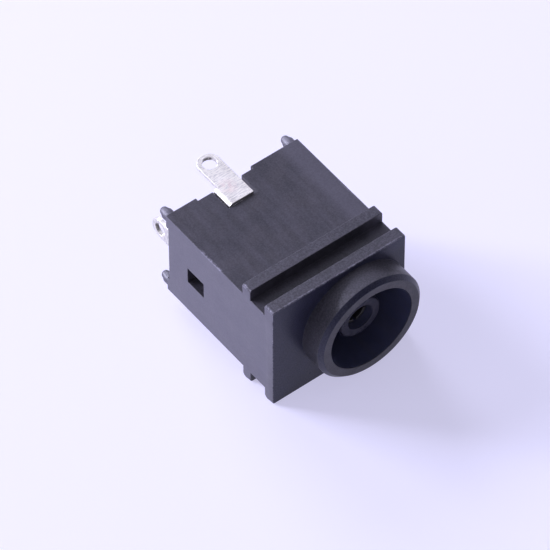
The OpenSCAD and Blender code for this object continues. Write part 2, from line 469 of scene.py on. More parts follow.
@dataclass(frozen=True)
class RubbedEdge:
    """A straight edge that has rubbed: its place on two axes, its reach and its ends, in mm."""

    first: str
    at_first: float
    second: str
    at_second: float
    reach: float
    start: float
    end: float

    def mask(
        self, tree: bpy.types.NodeTree, places: dict[str, bpy.types.NodeSocket], fade_mm: float
    ) -> bpy.types.NodeSocket:
        """Masks the faces beside the edge.

        Args:
            tree: the material's node tree.
            places: object coordinates, by the letter of their axis.
            fade_mm: length over which the line runs out at its ends.

        Returns:
            A mask from 0 to 1.
        """
        along = next(places[axis] for axis in places if axis not in (self.first, self.second))
        squares = []
        for axis, at in ((self.first, self.at_first), (self.second, self.at_second)):
            gap = node(tree, "Math", {0: places[axis], 1: at * MM}, operation="SUBTRACT")
            squares.append(node(tree, "Math", {0: gap.outputs[0], 1: 2.0}, operation="POWER"))
        both = node(tree, "Math", {0: squares[0].outputs[0], 1: squares[1].outputs[0]})
        far = node(tree, "Math", {0: both.outputs[0], 1: 0.5}, operation="POWER")
        near = node(tree, "MapRange", {
            "Value": far.outputs[0], "From Min": 0.4 * self.reach * MM,
            "From Max": self.reach * MM, "To Min": 1.0, "To Max": 0.0,
        }).outputs["Result"]
        middle, half = (self.start + self.end) / 2, (self.end - self.start) / 2
        off = node(tree, "Math", {0: along, 1: middle * MM}, operation="SUBTRACT")
        off = node(tree, "Math", {0: off.outputs[0]}, operation="ABSOLUTE").outputs[0]
        within = node(tree, "MapRange", {
            "Value": off, "From Min": half * MM, "From Max": (half + fade_mm) * MM,
            "To Min": 1.0, "To Max": 0.0,
        }).outputs["Result"]
        return node(tree, "Math", {0: near, 1: within}, operation="MULTIPLY").outputs[0]


RUBBED_EDGES: tuple[RubbedEdge, ...] = (
    RubbedEdge("Y", 0.03, "Z", 4.70, reach=0.11, start=-7.0, end=4.5),
    RubbedEdge("X", -6.73, "Y", 0.02, reach=0.05, start=-5.0, end=5.0),
    RubbedEdge("X", -6.7, "Z", 4.675, reach=0.16, start=-0.5, end=3.6),
    RubbedEdge("X", -6.73, "Z", 3.78, reach=0.15, start=5.6, end=7.6),
    RubbedEdge("X", 4.23, "Z", 3.78, reach=0.17, start=5.6, end=6.5),
    RubbedEdge("X", 4.23, "Z", 3.78, reach=0.06, start=0.0, end=11.0),
)


@dataclass(frozen=True)
class MouldedBlack:
    """Glass-filled PBT, injection moulded in a spark-eroded and lightly stoned tool.

    It is nearly black, with a satin skin that mirrors pale surroundings at a slant, a fine
    grain, paler flow streaks along Y, and a greyer, drier look where it has rubbed. Its upper
    faces are painted paler towards the right, a painted sheen where the lamps' reflection
    falls. Real spark grain is a few hundredths of a millimetre wide, too fine to show, so it
    is drawn as coarse as a tenth.
    """

    name: str = "moulded_black_pbt"
    colour: str = "#232229"
    cloud: str = "#2b282d"
    # colour of the paler flow streaks, and of the painted sheen on the right of the top
    streak_and_sheen: str = "#504e57"
    rub: str = "#85838e"
    gloss: float = 0.38
    gloss_spread: float = 0.07
    ior: float = 1.5
    grain_mm: float = 0.11
    grain_share: float = 0.13
    cloud_mm: float = 1.6
    flow_mm: float = 0.7
    grain_depth_mm: float = 0.006
    swell_depth_mm: float = 0.012
    flow_stretch: Point = (1.0, 0.14, 1.0)
    flow_share: float = 0.42
    # painted sheen: where the upper faces are painted paler towards the right, and how much
    sheen_band_x_mm: tuple[float, float] = (2.2, 3.1)
    sheen_band_z_mm: tuple[float, float] = (3.5, 3.7)
    sheen_band_share: float = 0.75
    speck_mm: float = 0.35
    wear_fade_mm: float = 0.3

    def make(self) -> bpy.types.Material:
        """Builds the material.

        Returns:
            The material.
        """
        material, tree = fresh(self.name)
        place = node(tree, "TexCoord").outputs["Object"]
        grain = node(tree, "TexNoise", {
            "Vector": place, "Scale": 1 / (self.grain_mm * MM), "Detail": 4.0, "Roughness": 0.6,
        }).outputs["Fac"]
        cloud = node(tree, "TexNoise", {
            "Vector": place, "Scale": 1 / (self.cloud_mm * MM), "Detail": 5.0, "Roughness": 0.62,
        }).outputs["Fac"]
        tone = node(tree, "MapRange", {
            "Value": cloud, "From Min": 0.4, "From Max": 0.66,
        }).outputs["Result"]
        tint = node(tree, "Mix", {
            "Factor": tone, "A": linear(self.colour), "B": linear(self.cloud),
        }, data_type="RGBA")
        flow = node(tree, "TexNoise", {
            "Vector": node(tree, "Mapping", {
                "Vector": place, "Scale": self.flow_stretch,
            }).outputs["Vector"],
            "Scale": 1 / (self.flow_mm * MM), "Detail": 5.0, "Roughness": 0.7,
        }).outputs["Fac"]
        streak = node(tree, "MapRange", {
            "Value": flow, "From Min": 0.42, "From Max": 0.7, "To Min": 0.0,
            "To Max": self.flow_share,
        }).outputs["Result"]
        parts = node(tree, "SeparateXYZ", {"Vector": place})
        # painted sheen band: the upper faces are painted paler towards the right, where the lamps'
        # reflection falls
        sheen_band = node(tree, "MapRange", {
            "Value": parts.outputs["X"], "From Min": self.sheen_band_x_mm[0] * MM,
            "From Max": self.sheen_band_x_mm[1] * MM, "To Min": 0.0, "To Max": self.sheen_band_share,
        }).outputs["Result"]
        sheen_band_height = node(tree, "MapRange", {
            "Value": parts.outputs["Z"], "From Min": self.sheen_band_z_mm[0] * MM,
            "From Max": self.sheen_band_z_mm[1] * MM,
        }).outputs["Result"]
        sheen_band = node(tree, "Math", {0: sheen_band, 1: sheen_band_height}, operation="MULTIPLY").outputs[0]
        # the paler of the flow streaks and the painted sheen band
        pale = node(tree, "Math", {0: streak, 1: sheen_band}, operation="MAXIMUM").outputs[0]
        streaked_and_sheened = node(tree, "Mix", {
            "Factor": pale, "A": out_colour(tint), "B": linear(self.streak_and_sheen),
        }, data_type="RGBA")
        peppered = node(tree, "Mix", {
            "Factor": node(tree, "MapRange", {
                "Value": grain, "From Min": 0.35, "From Max": 0.68, "To Min": 0.0,
                "To Max": self.grain_share,
            }).outputs["Result"],
            "A": out_colour(streaked_and_sheened), "B": linear(self.rub),
        }, data_type="RGBA")
        rubbed = node(tree, "Mix", {
            "Factor": self._wear(tree, place, grain), "A": out_colour(peppered),
            "B": linear(self.rub),
        }, data_type="RGBA")
        gloss = node(tree, "MapRange", {
            "Value": cloud, "From Min": 0.3, "From Max": 0.7,
            "To Min": self.gloss - self.gloss_spread, "To Max": self.gloss + self.gloss_spread,
        }).outputs["Result"]
        swell = node(tree, "Bump", {
            "Height": cloud, "Strength": 1.0, "Distance": self.swell_depth_mm * MM,
        }).outputs["Normal"]
        bump = node(tree, "Bump", {
            "Height": grain, "Strength": 1.0, "Distance": self.grain_depth_mm * MM,
            "Normal": swell,
        }).outputs["Normal"]
        skin = node(tree, "BsdfPrincipled", {
            "Base Color": out_colour(rubbed), "Roughness": gloss, "IOR": self.ior,
            "Normal": bump,
        })
        node(tree, "OutputMaterial", {"Surface": skin.outputs["BSDF"]})
        return material

    def _wear(
        self, tree: bpy.types.NodeTree, place: bpy.types.NodeSocket, grain: bpy.types.NodeSocket
    ) -> bpy.types.NodeSocket:
        """Masks the rubbed lines along the exposed edges of flange and block.

        Args:
            tree: the material's node tree.
            place: object coordinates.
            grain: the fine noise that breaks the line into specks.

        Returns:
            A mask from 0 to 1.
        """
        parts = node(tree, "SeparateXYZ", {"Vector": place}).outputs
        places = {axis: parts[axis] for axis in "XYZ"}
        speck = node(tree, "TexNoise", {
            "Vector": place, "Scale": 1 / (self.speck_mm * MM), "Detail": 3.0, "Roughness": 0.7,
        }).outputs["Fac"]
        total, *others = (edge.mask(tree, places, self.wear_fade_mm) for edge in RUBBED_EDGES)
        for other in others:
            total = node(tree, "Math", {0: total, 1: other}, operation="MAXIMUM").outputs[0]
        broken = node(tree, "MapRange", {
            "Value": speck, "From Min": 0.36, "From Max": 0.56,
        }).outputs["Result"]
        fine = node(tree, "MapRange", {
            "Value": grain, "From Min": 0.3, "From Max": 0.6,
        }).outputs["Result"]
        mottled = node(tree, "Math", {0: broken, 1: fine}, operation="MULTIPLY").outputs[0]
        return node(tree, "Math", {0: mottled, 1: total}, operation="MULTIPLY").outputs[0]


def out_colour(mix: bpy.types.Node) -> bpy.types.NodeSocket:
    """Gives the colour output of a Mix node, which has one output of each type."""
    return next(s for s in mix.outputs if s.type == "RGBA")


@dataclass(frozen=True)
class PlatedStrip:
    """Phosphor bronze strip, plated bright silver-grey, with the cross scratches of its rolls.

    Real roll scratches are too fine to show, so they are drawn about a tenth of a millimetre
    apart. One faint pink stain lies on the flat lug.
    """

    name: str = "plated_strip"
    colour: str = "#efece0"
    worn: str = "#cbc9c2"
    stain: str = "#d8b2ac"
    gloss: float = 0.33
    scratch_mm: float = 0.09
    scratch_depth_mm: float = 0.004
    scratch_stretch: Point = (0.16, 1.0, 0.16)
    scratch_turn: Point = (0.0, 0.0, 0.32)
    cloud_mm: float = 0.9
    stain_mm: Point = (-2.1, 10.9, 4.0)
    stain_reach_mm: tuple[float, float] = (0.2, 0.8)
    stain_share: float = 0.45
    gloss_range: tuple[float, float] = (-0.06, 0.1)

    def make(self) -> bpy.types.Material:
        """Builds the material.

        Returns:
            The material.
        """
        material, tree = fresh(self.name)
        place = node(tree, "TexCoord").outputs["Object"]
        drawn_out = node(tree, "Mapping", {
            "Vector": place, "Scale": self.scratch_stretch, "Rotation": self.scratch_turn,
        }).outputs["Vector"]
        scratch = node(tree, "TexNoise", {
            "Vector": drawn_out, "Scale": 1 / (self.scratch_mm * MM), "Detail": 3.0,
            "Roughness": 0.7,
        }).outputs["Fac"]
        cloud = node(tree, "TexNoise", {
            "Vector": place, "Scale": 1 / (self.cloud_mm * MM), "Detail": 4.0,
            "Roughness": 0.65,
        }).outputs["Fac"]
        worn = node(tree, "MapRange", {
            "Value": scratch, "From Min": 0.46, "From Max": 0.6,
        }).outputs["Result"]
        tint = node(tree, "Mix", {
            "Factor": worn, "A": linear(self.colour), "B": linear(self.worn),
        }, data_type="RGBA")
        middle = node(tree, "Mapping", {
            "Vector": place, "Location": [-at * MM for at in self.stain_mm],
        }).outputs["Vector"]
        away = node(tree, "VectorMath", {0: middle}, operation="LENGTH").outputs["Value"]
        spot = node(tree, "MapRange", {
            "Value": away, "From Min": self.stain_reach_mm[0] * MM,
            "From Max": self.stain_reach_mm[1] * MM, "To Min": self.stain_share, "To Max": 0.0,
        }).outputs["Result"]
        patch = node(tree, "MapRange", {
            "Value": cloud, "From Min": 0.42, "From Max": 0.62,
        }).outputs["Result"]
        stain = node(tree, "Math", {0: spot, 1: patch}, operation="MULTIPLY").outputs[0]
        stained = node(tree, "Mix", {
            "Factor": stain, "A": out_colour(tint), "B": linear(self.stain),
        }, data_type="RGBA")
        gloss = node(tree, "MapRange", {
            "Value": cloud, "From Min": 0.3, "From Max": 0.7,
            "To Min": self.gloss + self.gloss_range[0],
            "To Max": self.gloss + self.gloss_range[1],
        }).outputs["Result"]
        bump = node(tree, "Bump", {
            "Height": scratch, "Strength": 1.0, "Distance": self.scratch_depth_mm * MM,
        }).outputs["Normal"]
        skin = node(tree, "BsdfPrincipled", {
            "Base Color": out_colour(stained), "Metallic": 1.0, "Roughness": gloss,
            "Normal": bump,
        })
        node(tree, "OutputMaterial", {"Surface": skin.outputs["BSDF"]})
        return material


@dataclass(frozen=True)
class TurnedBrass:
    """Turned brass under a thin pale plating, with rings from the lathe tool. Its colours are
    darkened, a painted shade for its place deep in the post's hole.
    """

    name: str = "turned_plated_brass_painted_shade"
    # painted shade: both colours are darkened for the socket's place deep in the post's hole
    colour: str = "#86847f"
    ring: str = "#6c6a67"
    gloss: float = 0.42
    ring_mm: float = 0.08
    ring_depth_mm: float = 0.004

    def make(self) -> bpy.types.Material:
        """Builds the material.

        Returns:
            The material.
        """
        material, tree = fresh(self.name)
        place = node(tree, "TexCoord").outputs["Object"]
        rings = node(tree, "TexNoise", {
            "Vector": node(tree, "Mapping", {
                "Vector": place, "Scale": (0.05, 1.0, 0.05),
            }).outputs["Vector"],
            "Scale": 1 / (self.ring_mm * MM), "Detail": 2.0,
        }).outputs["Fac"]
        tint = node(tree, "Mix", {
            "Factor": rings, "A": linear(self.colour), "B": linear(self.ring),
        }, data_type="RGBA")
        bump = node(tree, "Bump", {
            "Height": rings, "Strength": 0.6, "Distance": self.ring_depth_mm * MM,
        }).outputs["Normal"]
        skin = node(tree, "BsdfPrincipled", {
            "Base Color": out_colour(tint), "Metallic": 1.0, "Roughness": self.gloss,
            "Normal": bump,
        })
        node(tree, "OutputMaterial", {"Surface": skin.outputs["BSDF"]})
        return material


@dataclass(frozen=True)
class StudioPaper:
    """Matt white paper roll under the part, a little lavender and nearly burnt out.

    Where it is seen or mirrored, a share of it glows, which makes the ground white without more
    light on the part. The glow's linear colour goes past 1, as no hex value can.
    """

    name: str = "studio_paper"
    colour: str = "#f6f5fd"
    glow: tuple[float, float, float, float] = (1.07, 1.04, 1.42, 1.0)
    lift: float = 0.45

    def make(self) -> bpy.types.Material:
        """Builds the material.

        Returns:
            The material.
        """
        material, tree = fresh(self.name)
        path = node(tree, "LightPath")
        seen = node(tree, "Math", {
            0: path.outputs["Is Camera Ray"], 1: path.outputs["Is Glossy Ray"],
        }, operation="MAXIMUM").outputs[0]
        seen = node(tree, "Math", {
            0: seen, 1: path.outputs["Is Transmission Ray"],
        }, operation="MAXIMUM").outputs[0]
        share = node(tree, "Math", {0: seen, 1: self.lift}, operation="MULTIPLY").outputs[0]
        paper = node(tree, "BsdfDiffuse", {"Color": linear(self.colour)})
        light = node(tree, "Emission", {"Color": self.glow, "Strength": 1.0})
        both = node(tree, "MixShader", {
            "Fac": share, 1: paper.outputs[0], 2: light.outputs[0],
        })
        node(tree, "OutputMaterial", {"Surface": both.outputs[0]})
        return material


# ---------------------------------------------------------------- the four pieces


@dataclass
class Housing:
    """The black moulding: block, flange, collar, bore, post, pads and pegs."""

    left: float = -6.75
    right: float = 4.25
    top: float = 3.8
    flange_top: float = 4.725
    plate: float = 0.9
    rib: tuple[float, float] = (2.4, 3.25)
    rear: float = 11.3
    pads: float = 11.55
    pad_height: float = 1.225
    pad_widths: tuple[float, float] = (2.5, 3.95)
    collar_radius: float = 4.3
    collar_front: float = -1.9
    collar_chamfer: float = 0.3
    collar_root: float = 0.1
    bore_radius: float = 3.35
    bore_floor: float = 8.0
    post_radius: float = 1.7
    post_tip: float = -0.7
    post_chamfer: float = 0.12
    post_hole: float = 1.0
    flange_seat_radius: float = 1.25
    flange_seat_depth: float = 0.4
    peg_radii: tuple[float, float] = (0.42, 0.31)
    peg_foot: float = 0.45
    peg_length: float = 1.02
    peg_places: tuple[float, float] = (5.05, 3.3)
    peg_root: float = 0.15
    peg_steps: int = 9
    chamber_front: float = 1.4
    seat_slot: tuple[float, float] = (-5.95, -5.55)
    seat_slot_half: float = 0.95
    spring_room: tuple[float, float] = (-5.7, -3.5)
    spring_way: tuple[float, float] = (-4.0, -2.6)
    spring_half: float = 0.8
    window_floor: float = -5.8
    window_y: tuple[float, float] = (7.5, 9.23)
    window_z: tuple[float, float] = (-0.855, 0.545)
    pocket: float = 9.5
    pocket_left: float = -3.05
    pocket_half: float = 1.35
    lug_slot_right: float = -0.65
    lug_slot_low: float = -1.3
    flange_ease: float = 0.3
    flange_corner: float = 0.18
    edge: float = 0.05

    def build(self, finishes: dict[Skin, bpy.types.Material]) -> bpy.types.Object:
        """Models the moulding and dresses it.

        Args:
            finishes: the moulded material of each kind of face.

        Returns:
            The finished piece.
        """
        piece = self._block()
        collar = rod("collar", self.collar_radius, self.collar_front, self.collar_root, 160)
        with Bench(collar) as bench:
            bench.edges(lambda a, b: max(a.y, b.y) < self.collar_front + EPS)
            bench.bevel(self.collar_chamfer, 1)
        combine(piece, Cut.JOIN, collar, *self._pegs())
        combine(piece, Cut.REMOVE, *self._hollows())
        post = rod("post", self.post_radius, self.post_tip, self.bore_floor + SUNK, 96)
        with Bench(post) as bench:
            bench.edges(lambda a, b: max(a.y, b.y) < self.post_tip + EPS)
            bench.bevel(self.post_chamfer, 1)
        combine(piece, Cut.JOIN, post)
        combine(
            piece, Cut.REMOVE,
            rod("post_hole", self.post_hole, self.post_tip - PAST, self.pocket + SUNK, 72),
            rod("flange_seat", self.flange_seat_radius, self.pocket - self.flange_seat_depth,
                self.pocket + SUNK, 72),
        )
        soften(piece, self.edge, self._is_slot_front)
        self._trim_corners(piece)
        dress(piece, "moulded_housing", *(finishes[skin] for skin in Skin))
        order = list(Skin)
        for face in piece.data.polygons:
            face.material_index = order.index(self._skin(face.center, face.normal))
        hand_over(piece, "housing")
        return piece

    def _is_slot_front(self, middle: Vector) -> bool:
        """Tells the top edge at the front of the lug's slot, which the tool leaves crisp."""
        return abs(middle.y - self.pocket) < NEAR and middle.z > self.top - 2 * self.edge

    def _trim_corners(self, piece: bpy.types.Object) -> None:
        """Brings the points that the rounding pushed out of the long sides back to them.

        Args:
            piece: the rounded moulding, in millimetres.
        """
        for vertex in piece.data.vertices:
            if vertex.co.y > self.plate / 2:
                vertex.co.x = min(max(vertex.co.x, self.left), self.right)

    def _skin(self, place: Vector, facing: Vector) -> Skin:
        """Tells which skin a face gets: the tool's spark-eroded skin, plain or coarse, or a painted
        lit or shaded copy of it.

        Args:
            place: the face's middle in millimetres.
            facing: the face's normal.

        Returns:
            The skin of that face.
        """
        away = math.hypot(place.x, place.z)
        side = abs(abs(place.x - self.middle) - self.half_width)
        rounding = 2 * self.edge
        # painted light: the long sides get the paler, more mirroring copy
        if abs(facing.x) > FACING and side < NEAR and place.y > 0:
            return Skin.DRAWN
        # painted light: the pegs get a paler copy
        if place.y > self.pads + NEAR:
            return Skin.PINS
        # painted shade: the collar's chamfer gets the darker, bluer, less mirroring copy; the
        # collar's side gets the coarse skin
        if place.y < -NEAR and away > self.bore_radius + rounding and facing.y > -FACING:
            return Skin.STONED if facing.y < -SLANTED else Skin.COARSE
        if abs(place.z) > self.flange_top - NEAR:
            return Skin.COARSE
        # painted shade: the front gets the darker, bluer, less mirroring copy
        if facing.y < -FACING and abs(place.y) < NEAR:
            return Skin.STONED
        in_bore = away < self.bore_radius + NEAR / 2
        # painted light: the bore's walls and the post's sides get a paler, bluer copy
        if in_bore and self.collar_front + rounding < place.y < self.pocket - NEAR:
            tip = away < self.post_radius + self.edge and facing.y < -SLANTED
            # painted shade: the post's tip gets a bluer, less mirroring copy
            return Skin.TURNED if tip and place.y < 0 else Skin.BORED
        return Skin.SPARKED

    @property
    def middle(self) -> float:
        """Gives the housing's middle, left to right."""
        return (self.left + self.right) / 2

    @property
    def half_width(self) -> float:
        """Gives half the housing's width."""
        return (self.right - self.left) / 2

    def _block(self) -> bpy.types.Object:
        """Shapes the block, with plate, rib and pads pulled out of its faces.

        Returns:
            The block.
        """
        piece = box("block", (self.left, 0, -self.top), (self.right, self.rear, self.top))
        rise = self.flange_top - self.top
        inner = (self.left + self.pad_widths[0], self.right - self.pad_widths[1])
        tall = self.top - self.pad_height
        with Bench(piece) as bench:
            bench.slice(1, self.plate, *self.rib)
            for way in (1, -1):
                bench.faces(lambda c, n: n.z * way > FACING and (
                    c.y < self.plate or self.rib[0] < c.y < self.rib[1]))
                bench.extrude((0, 0, way * rise))
            bench.slice(0, *inner)
            bench.slice(2, -tall, tall)
            bench.faces(lambda c, n: n.y > FACING and c.y > self.rear - EPS
                        and abs(c.z) > tall and not inner[0] < c.x < inner[1])
            bench.extrude((0, self.pads - self.rear, 0))
            bench.tidy()
            bench.edges(self._is_lower_rear_edge)
            bench.bevel(self.flange_ease, 6)
            bench.edges(self._is_outer_corner)
            bench.bevel(self.flange_corner, 4)
        return piece

    def _is_outer_corner(self, a: Vector, b: Vector) -> bool:
        """Tells the long corner edges of the flange, which the tool rounds more."""
        along_y = abs(a.x - b.x) < EPS and abs(a.z - b.z) < EPS
        return along_y and abs(abs(a.z) - self.flange_top) < EPS

    def _is_lower_rear_edge(self, a: Vector, b: Vector) -> bool:
        """Tells the lower rear edges of plate and rib, which the tool rounds."""
        low = max(a.z, b.z) < EPS - self.flange_top
        return low and abs(a.y - b.y) < EPS and min(
            abs(a.y - self.plate), abs(a.y - self.rib[1])) < EPS

    def _pegs(self) -> list[bpy.types.Object]:
        """Turns one round-ended peg and sets a copy in each corner.

        Returns:
            The four pegs.
        """
        foot, tip = self.peg_radii
        dome = self.peg_length - tip
        peg = rod("peg", foot, -self.peg_root, self.peg_foot, 40)
        with Bench(peg) as bench:
            bench.faces(lambda c, n: n.y > FACING)
            bench.extrude((0, dome - self.peg_foot, 0))
            bench.resize((tip / foot,) * 3, (0, dome, 0))
            for step in range(1, self.peg_steps):
                angle = math.radians(90 * step / self.peg_steps)
                last = math.radians(90 * (step - 1) / self.peg_steps)
                rise = tip * (math.sin(angle) - math.sin(last))
                shrink = math.cos(angle) / math.cos(last)
                bench.extrude((0, rise, 0))
                bench.resize((shrink, 1, shrink), (0, dome, 0))
            bench.tidy()
        pegs = []
        for side in (-1, 1):
            for way in (-1, 1):
                copy = peg.copy()
                copy.data = peg.data.copy()
                bpy.context.collection.objects.link(copy)
                copy.location = (
                    self.middle + side * self.peg_places[0], self.pads, way * self.peg_places[1]
                )
                only(copy)
                bpy.ops.object.transform_apply(location=True, rotation=False, scale=False)
                pegs.append(copy)
        bpy.data.objects.remove(peg, do_unlink=True)
        return pegs

    def _hollows(self) -> list[bpy.types.Object]:
        """Makes the tools that cut the bore, the spring's chamber, the window and the pocket.

        Returns:
            The tools.
        """
        out = self.rear + PAST
        front, floor = self.chamber_front, self.bore_floor
        seat, spring, strap = self.seat_slot_half, self.spring_half, self.pocket_half
        return [
            rod("bore", self.bore_radius, self.collar_front - PAST, floor, 160),
            box("seat_slot", (self.seat_slot[0], front, -seat), (self.seat_slot[1], out, seat)),
            box("spring_room", (self.spring_room[0], front, -spring),
                (self.spring_room[1], out, spring)),
            box("spring_way", (self.spring_way[0], front, -spring),
                (self.spring_way[1], floor, spring)),
            box("window", (self.left - PAST, self.window_y[0], self.window_z[0]),
                (self.window_floor, self.window_y[1], self.window_z[1])),
            box("strap_pocket", (self.pocket_left, self.pocket, -strap), (0, out, strap)),
            rod("strap_end", strap, self.pocket, out, 96),
            box("lug_slot", (self.pocket_left, self.pocket, self.lug_slot_low),
                (self.lug_slot_right, out, self.top + PAST)),
        ]


@dataclass
class SleeveContact:
    """The folded strip whose leaf presses on the plug's sleeve; its tail is the upright lug."""

    seat: float = -5.9
    sheet: float = 0.3
    chamber_front: float = 1.4
    front_gap: float = 0.1
    apex: float = -3.0
    seat_width: float = 1.8
    leaf_width: float = 1.4
    lug_width: float = 1.7
    rear: float = 11.3
    eye: float = 13.4
    eye_radius: float = 0.525
    neck: float = 0.05
    shoulder: float = 0.1
    tip_flat: float = 0.01
    slope: float = 6
    leaf: float = 2.9
    bump_radius: float = 0.9
    tail_slope: float = 20
    tail: float = 0.9
    edge: float = 0.03

    @property
    def hairpin_radius(self) -> float:
        """Gives the hairpin's centre-line radius, which brings the leaf's bump to its apex."""
        slope = math.radians(self.slope)
        run = self.leaf * math.sin(slope) + self.bump_radius * (1 - math.cos(slope))
        return round((self.apex - self.seat - self.sheet - run) / (1 + math.cos(slope)), 4)

    @property
    def hairpin_centre(self) -> tuple[float, float]:
        """Gives the hairpin's centre, across and along."""
        reach = self.sheet / 2 + self.hairpin_radius
        along = self.chamber_front + self.front_gap + reach
        return round(self.seat + reach, 4), round(along, 4)

    def build(self, finish: bpy.types.Material) -> bpy.types.Object:
        """Models the strip and dresses it.

        Args:
            finish: the strip's material.

        Returns:
            The finished piece.
        """
        far = self.seat + self.sheet
        centre_x, start = self.hairpin_centre
        half = self.seat_width / 2
        neck = start + self.neck
        piece = box("strip", (self.seat, neck, -half), (far, self.rear, half))
        with Bench(piece) as bench:
            # the upright lug, a little narrower than the seat, with its round end
            bench.faces(lambda c, n: n.y > FACING)
            bench.extrude((0, self.shoulder, 0))
            bench.resize((1, 1, self.lug_width / self.seat_width), (0, 0, 0))
            bench.extrude((0, self.eye - self.rear - self.shoulder, 0))
            bench.extrude((0, self.lug_width / 2, 0))
            tip = self.eye + self.lug_width / 2
            bench.edges(lambda a, b: min(a.y, b.y) > tip - EPS and abs(a.z - b.z) < EPS)
            bench.bevel(self.lug_width / 2 - self.tip_flat, TIP_STEPS)

            # the hairpin, the sloped leaf, its bump and the tail behind it
            bench.faces(lambda c, n: n.y < -FACING and c.y < neck + EPS)
            bench.extrude((0, -self.neck, 0))
            bench.resize((1, 1, self.leaf_width / self.seat_width), (0, 0, 0))
            bench.spin(180 - self.slope, (centre_x, start, 0), (0, 0, 1), 24)
            slope = math.radians(self.slope)
            way = Vector((math.sin(slope), math.cos(slope), 0))
            bench.extrude(tuple(way * self.leaf))
            side = Vector((-math.cos(slope), math.sin(slope), 0))
            end = Vector((
                centre_x + self.hairpin_radius * math.cos(slope),
                start - self.hairpin_radius * math.sin(slope), 0,
            )) + way * self.leaf
            bench.spin(
                self.slope + self.tail_slope, tuple(end + side * self.bump_radius),
                (0, 0, 1), 12,
            )
            tail = math.radians(self.tail_slope)
            bench.extrude((-math.sin(tail) * self.tail, math.cos(tail) * self.tail, 0))
            bench.tidy()
        combine(piece, Cut.REMOVE, rod(
            "eye", self.eye_radius, self.seat - PAST, far + PAST, EYE_SIDES, (1, 0, 0),
            (0, self.eye, 0)))
        soften(piece, self.edge)
        dress(piece, "sleeve_strip", finish)
        hand_over(piece, "sleeve_contact")
        return piece


@dataclass
class CentreTerminal:
    """The folded strip that carries the socket and runs out over the top as the flat lug."""

    leg: float = -3.0
    sheet: float = 0.3
    fold: float = 0.1
    strap: float = 9.5
    strap_height: float = 2.6
    root_start: float = 9.55
    rear: float = 11.3
    lug_top: float = 4.0
    root_right: float = -0.95
    lug_width: float = 1.7
    eye: float = 13.27
    eye_radius: float = 0.525
    rivet_radius: float = 0.55
    leg_shoulder: float = 0.05
    lug_shoulder: float = 0.04
    tip_flat: float = 0.02
    edge: float = 0.03

    def build(self, finish: bpy.types.Material) -> bpy.types.Object:
        """Models the strip and dresses it.

        Args:
            finish: the strip's material.

        Returns:
            The finished piece.
        """
        outer = self.fold + self.sheet
        fold_x = self.leg + outer
        fold_z = self.lug_top - outer
        half = self.strap_height / 2
        lug_middle = self.root_right - self.lug_width / 2

        # the strap, with its round end, folded back into the leg
        piece = box("strap", (fold_x, self.strap, -half), (0, self.strap + self.sheet, half))
        with Bench(piece) as bench:
            bench.faces(lambda c, n: n.x > FACING)
            bench.extrude((half, 0, 0))
            bench.edges(lambda a, b: min(a.x, b.x) > half - EPS and abs(a.z - b.z) < EPS)
            bench.bevel(half - self.tip_flat / 2, TIP_STEPS)
            bench.faces(lambda c, n: n.x < -FACING and c.x < fold_x + EPS)
            bench.spin(-90, (fold_x, self.strap + outer, 0), (0, 0, 1), 8)
            bench.extrude((0, self.rear - self.strap - outer, 0))

            # the leg, a little longer at the front once it is clear of the strap
            bench.faces(lambda c, n: n.z > FACING and c.y > self.strap + outer + EPS)
            bench.extrude((0, 0, self.leg_shoulder))
            bench.extrude((0, 0, fold_z - half - self.leg_shoulder))
            bench.faces(lambda c, n: n.y < -FACING and c.z > half + self.leg_shoulder + EPS)
            bench.extrude((0, self.root_start - self.strap - outer, 0))

            # the root, folded over, and the lug that runs out of it
            bench.faces(lambda c, n: n.z > FACING and c.z > fold_z - EPS)
            bench.spin(90, (fold_x, 0, fold_z), (0, 1, 0), 10)
            bench.extrude((self.root_right - fold_x, 0, 0))
            bench.faces(lambda c, n: n.y > FACING and c.x > fold_x + NEAR
                        and c.z > self.lug_top - self.sheet and c.y > self.rear - EPS)
            bench.extrude((0, self.lug_shoulder, 0))
            wider = self.lug_width / (self.root_right - fold_x)
            bench.resize((wider, 1, 1), (self.root_right, 0, 0))
            bench.extrude((0, self.eye - self.rear - self.lug_shoulder, 0))
            bench.extrude((0, self.lug_width / 2, 0))
            tip = self.eye + self.lug_width / 2
            bench.edges(lambda a, b: min(a.y, b.y) > tip - EPS and abs(a.x - b.x) < EPS)
            bench.bevel(self.lug_width / 2 - self.tip_flat, TIP_STEPS)
            bench.tidy()
        combine(
            piece, Cut.REMOVE,
            rod("eye", self.eye_radius, self.lug_top - PAST, self.lug_top + PAST, EYE_SIDES,
                (0, 0, 1), (lug_middle, self.eye, 0)),
            rod("rivet_hole", self.rivet_radius, self.strap - PAST, self.strap + PAST, 48),
        )
        soften(piece, self.edge)
        dress(piece, "centre_strip", finish)
        hand_over(piece, "centre_terminal")
        return piece


